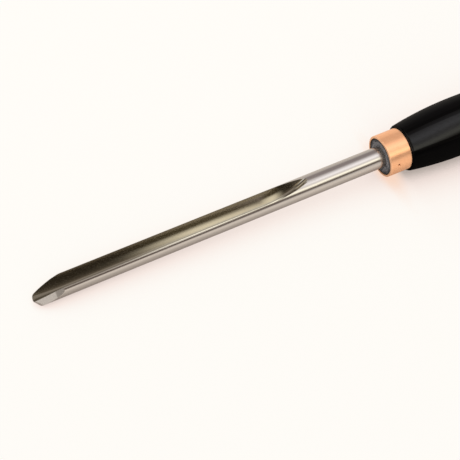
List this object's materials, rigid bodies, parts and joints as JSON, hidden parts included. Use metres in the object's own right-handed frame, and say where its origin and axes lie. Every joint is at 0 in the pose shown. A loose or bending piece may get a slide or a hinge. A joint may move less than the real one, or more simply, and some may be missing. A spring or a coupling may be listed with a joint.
{
  "type": "bowl gouge",
  "caption": "Bowl gouge for woodturning: a round steel bar with a deep flute and a swept-back grind, set in a turned black wooden handle bound by a copper ferrule.",
  "frame": {"origin": "on the tool's axis, in the plane of the ferrule's front edge", "axes": "X runs along the tool with the tip towards -X and the butt towards +X, and the flute opens towards +Z"},
  "size_m": [0.5293, 0.0342, 0.0342],
  "materials": {
    "ground_steel": "ground bright steel, polished flute, coarser ground bevels",
    "copper": "satin copper tube",
    "black_wood": "black stained hardwood under gloss lacquer"
  },
  "bodies": {
    "root": {"gouge_bar": "ground_steel", "ferrule": "copper", "handle": "black_wood"}
  },
  "joints": []
}
